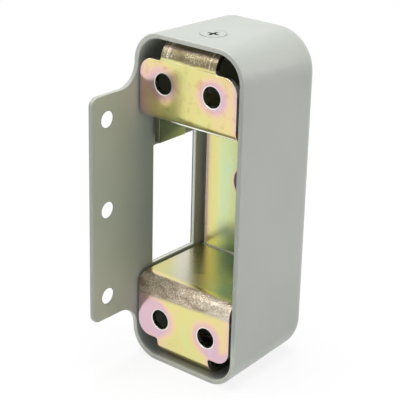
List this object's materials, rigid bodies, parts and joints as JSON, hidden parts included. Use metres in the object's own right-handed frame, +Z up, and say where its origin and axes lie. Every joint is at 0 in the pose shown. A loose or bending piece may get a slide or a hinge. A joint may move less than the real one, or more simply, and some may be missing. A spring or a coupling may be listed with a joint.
{
  "type": "door strike plate",
  "caption": "Surface-mounted box strike for a rim lock: a painted rounded cover with a bolt window and jamb flange, held by plated brackets inside.",
  "frame": {"origin": "middle of the four frame screw holes, in the plane of the cover's open rim", "axes": "+X across the box away from the jamb flange, +Y from the open rim into the depth of the box, +Z up along its height"},
  "size_m": [0.0416, 0.0569, 0.108],
  "materials": {
    "paint": "satin grey paint on steel sheet",
    "zinc": "bright yellow-passivated zinc on steel sheet",
    "screw": "satin grey paint on steel"
  },
  "bodies": {
    "root": {"cover": "paint", "upper_bracket": "zinc", "lower_bracket": "zinc", "top_screw": "screw", "bottom_screw": "screw"}
  },
  "joints": []
}
